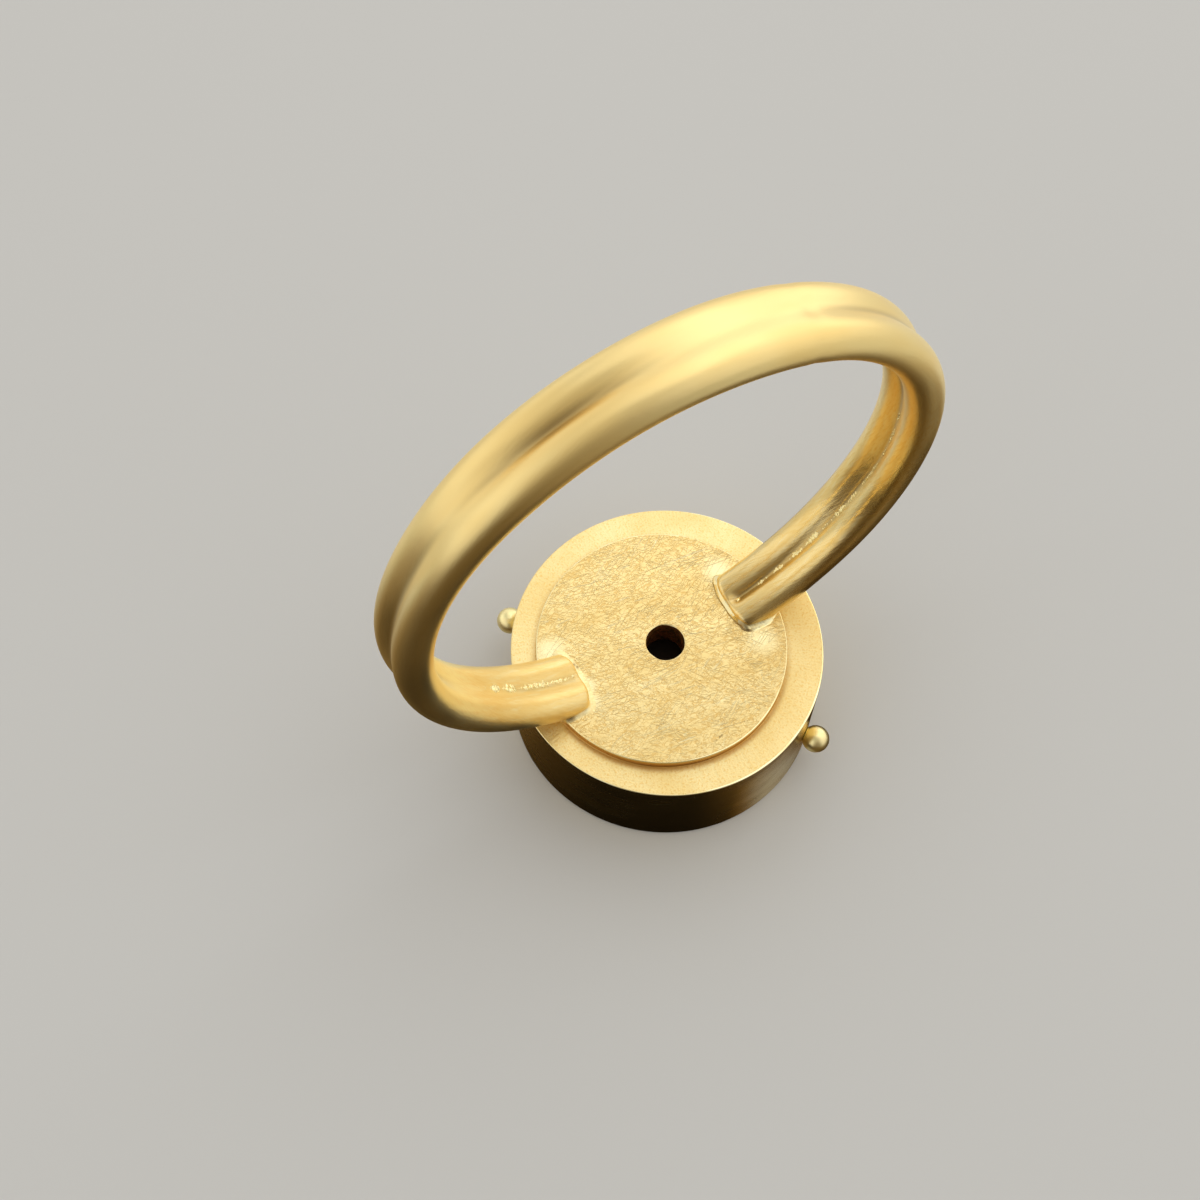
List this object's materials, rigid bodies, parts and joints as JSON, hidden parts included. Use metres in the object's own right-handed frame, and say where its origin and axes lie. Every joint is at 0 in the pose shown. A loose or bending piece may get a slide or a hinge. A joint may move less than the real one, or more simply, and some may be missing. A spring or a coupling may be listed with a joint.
{
  "type": "opal ring",
  "caption": "Gold finger ring: round wires soldered side by side form the shank, fixed to a raised pad on the closed back of a round drum that holds a low-domed opal.",
  "frame": {"origin": "centre of the part's box on the plane of the drum's front lip, which the ring lies on, straight below the centre of the finger hole across the ring", "axes": "+X across the finger hole, +Y along the finger, +Z from the front lip through the back plate to the top of the shank"},
  "size_m": [0.0206, 0.0126, 0.0239],
  "materials": {
    "gold": "satin gold with fine scratches",
    "opal": "polished, with a play of colour"
  },
  "bodies": {
    "root": {"gold_ring": "gold", "opal": "opal"}
  },
  "joints": []
}
